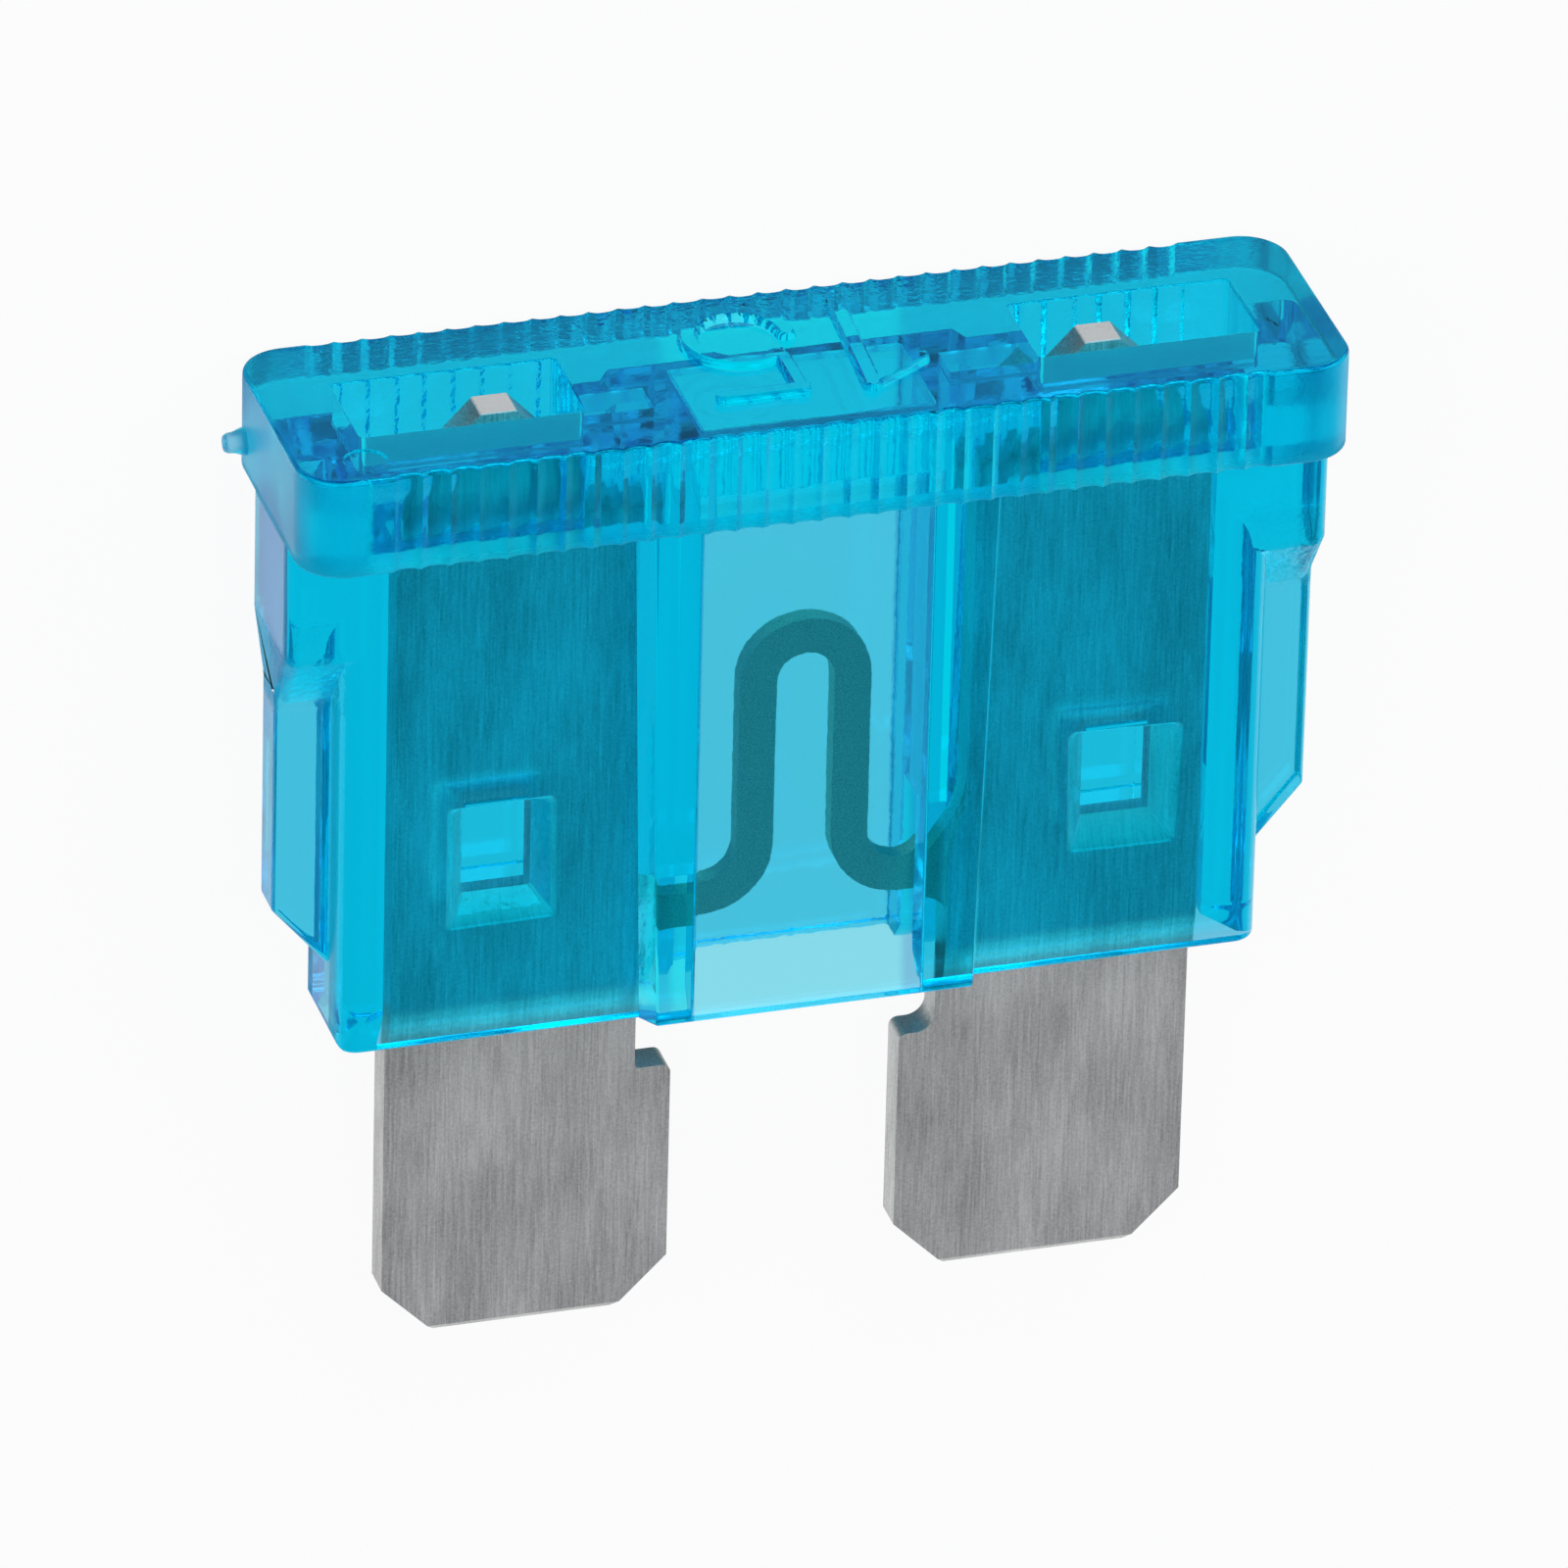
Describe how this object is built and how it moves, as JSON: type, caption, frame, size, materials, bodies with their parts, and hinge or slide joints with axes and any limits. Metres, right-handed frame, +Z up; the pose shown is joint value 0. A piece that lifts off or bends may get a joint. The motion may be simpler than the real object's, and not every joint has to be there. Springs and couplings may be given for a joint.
{
  "type": "automotive blade fuse",
  "caption": "Plug-in automotive blade fuse with a clear light-blue moulded housing, fluted cap with test windows, and a stamped zinc element with flat blades.",
  "frame": {"origin": "middle of the underside of the bounding box, on the surface that the fuse lies on", "axes": "+X across the blades, +Y from the blades to the cap, +Z up; the fuse lies on its back, tilted by about 5 degrees"},
  "size_m": [0.0196, 0.019, 0.0053],
  "materials": {
    "clear_blue_plastic": "clear, tinted light blue, gloss",
    "zinc": "rolled zinc with a fine upright grain"
  },
  "bodies": {
    "root": {"housing": "clear_blue_plastic", "fuse_element": "zinc"}
  },
  "joints": []
}
